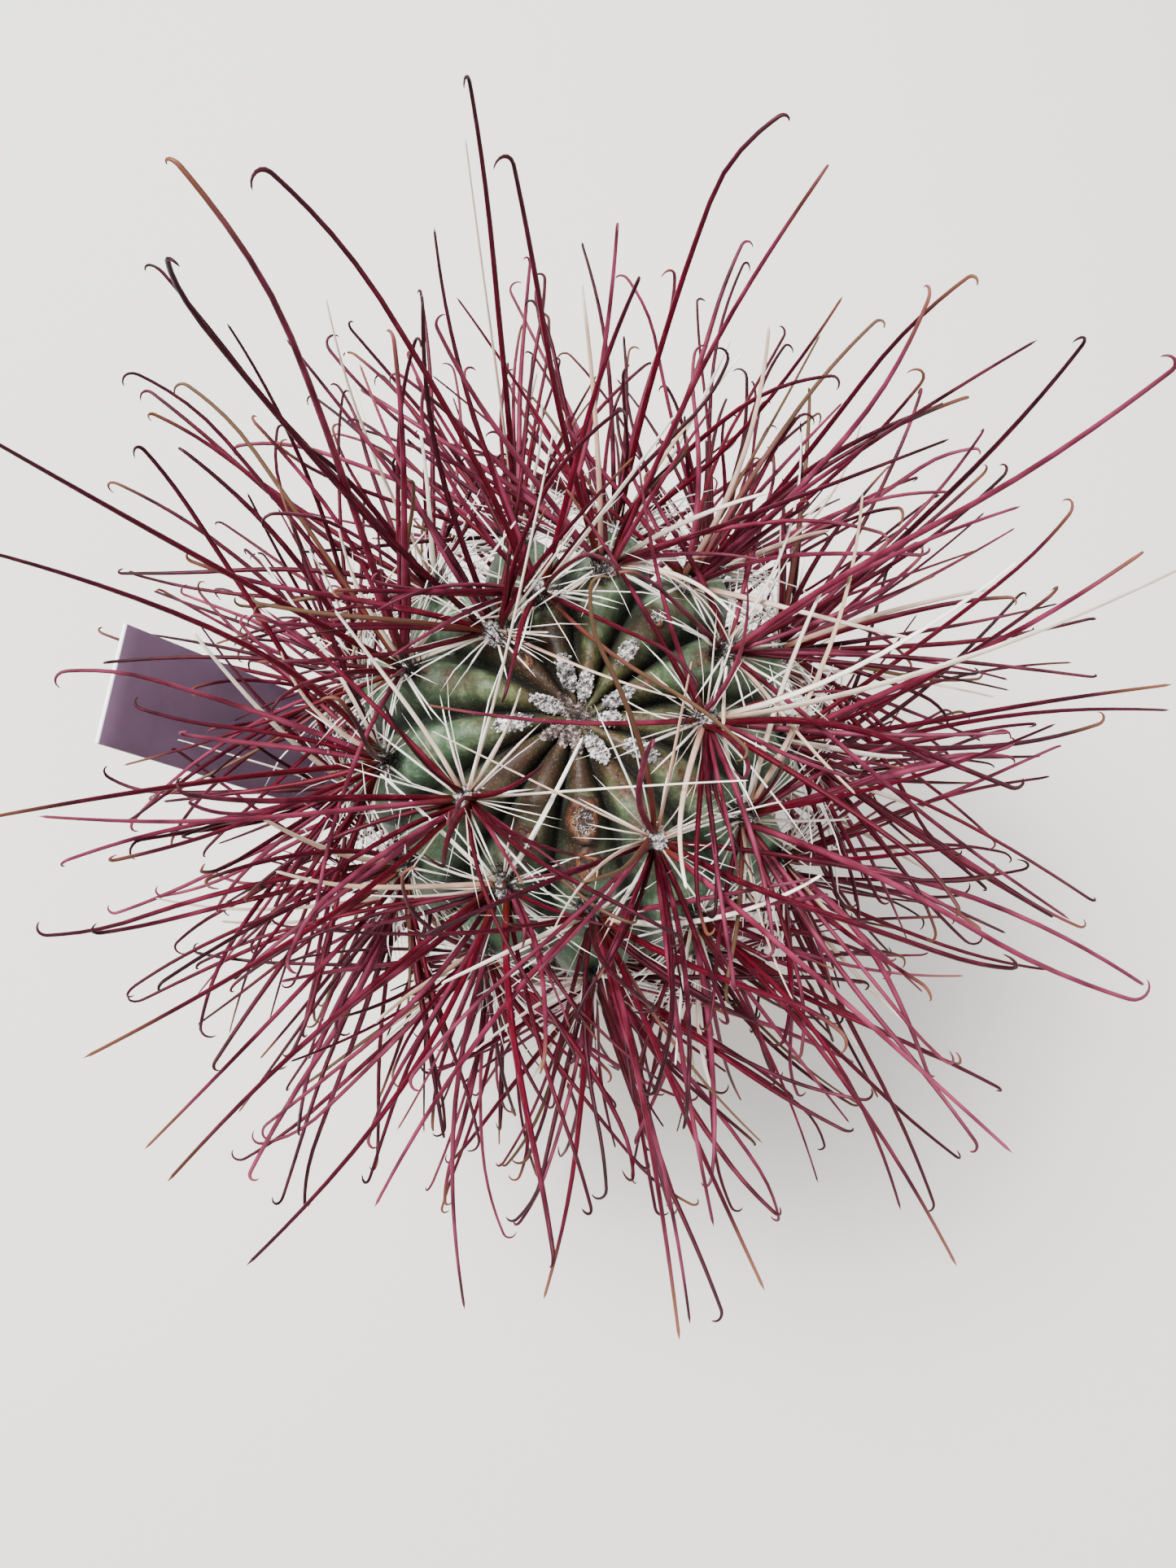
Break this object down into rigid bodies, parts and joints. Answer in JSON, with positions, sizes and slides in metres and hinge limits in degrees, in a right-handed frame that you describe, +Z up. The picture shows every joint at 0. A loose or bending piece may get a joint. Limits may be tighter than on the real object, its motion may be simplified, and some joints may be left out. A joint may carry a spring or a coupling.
{
  "type": "potted barrel cactus",
  "caption": "Globular ribbed barrel cactus with a woolly crown and hooked crimson and pale spines, standing in a plain round pot of grit with a blank plant label.",
  "frame": {"origin": "centre of the pot's flat base, on the surface that the pot stands on", "axes": "+Z up through the plant, -Y towards the viewer, -X towards the plant label"},
  "size_m": [0.1893, 0.1938, 0.2286],
  "materials": {
    "pot": "matte moulded",
    "soil": "rough gritty",
    "label": "satin",
    "skin": "waxy satin",
    "wool": "woolly",
    "spines": "satin horn"
  },
  "bodies": {
    "root": {"pot": "pot", "gritty_soil": "soil", "plant_label": "label", "cactus_stem": "skin", "crown_wool": "wool", "young_areole_rib_03": "wool", "young_areole_rib_08": "wool", "young_areole_rib_13": "wool", "spines_rib_01_row_1": "spines", "spines_rib_01_row_2": "spines", "spines_rib_01_row_3": "spines", "spines_rib_01_row_4": "spines", "spines_rib_02_row_1": "spines", "spines_rib_02_row_2": "spines", "spines_rib_02_row_3": "spines", "spines_rib_02_row_4": "spines", "spines_rib_03_row_1": "spines", "spines_rib_03_row_2": "spines", "spines_rib_03_row_3": "spines", "spines_rib_03_row_4": "spines", "spines_rib_04_row_1": "spines", "spines_rib_04_row_2": "spines", "spines_rib_04_row_3": "spines", "spines_rib_04_row_4": "spines", "spines_rib_05_row_1": "spines", "spines_rib_05_row_2": "spines", "spines_rib_05_row_3": "spines", "spines_rib_05_row_4": "spines", "spines_rib_06_row_1": "spines", "spines_rib_06_row_2": "spines", "spines_rib_06_row_3": "spines", "spines_rib_06_row_4": "spines", "spines_rib_07_row_1": "spines", "spines_rib_07_row_2": "spines", "spines_rib_07_row_3": "spines", "spines_rib_07_row_4": "spines", "spines_rib_08_row_1": "spines", "spines_rib_08_row_2": "spines", "spines_rib_08_row_3": "spines", "spines_rib_08_row_4": "spines", "spines_rib_09_row_1": "spines", "spines_rib_09_row_2": "spines", "spines_rib_09_row_3": "spines", "spines_rib_09_row_4": "spines", "spines_rib_10_row_1": "spines", "spines_rib_10_row_2": "spines", "spines_rib_10_row_3": "spines", "spines_rib_10_row_4": "spines", "spines_rib_11_row_1": "spines", "spines_rib_11_row_2": "spines", "spines_rib_11_row_3": "spines", "spines_rib_11_row_4": "spines", "spines_rib_12_row_1": "spines", "spines_rib_12_row_2": "spines", "spines_rib_12_row_3": "spines", "spines_rib_12_row_4": "spines", "spines_rib_13_row_1": "spines", "spines_rib_13_row_2": "spines", "spines_rib_13_row_3": "spines", "spines_rib_13_row_4": "spines"}
  },
  "joints": []
}
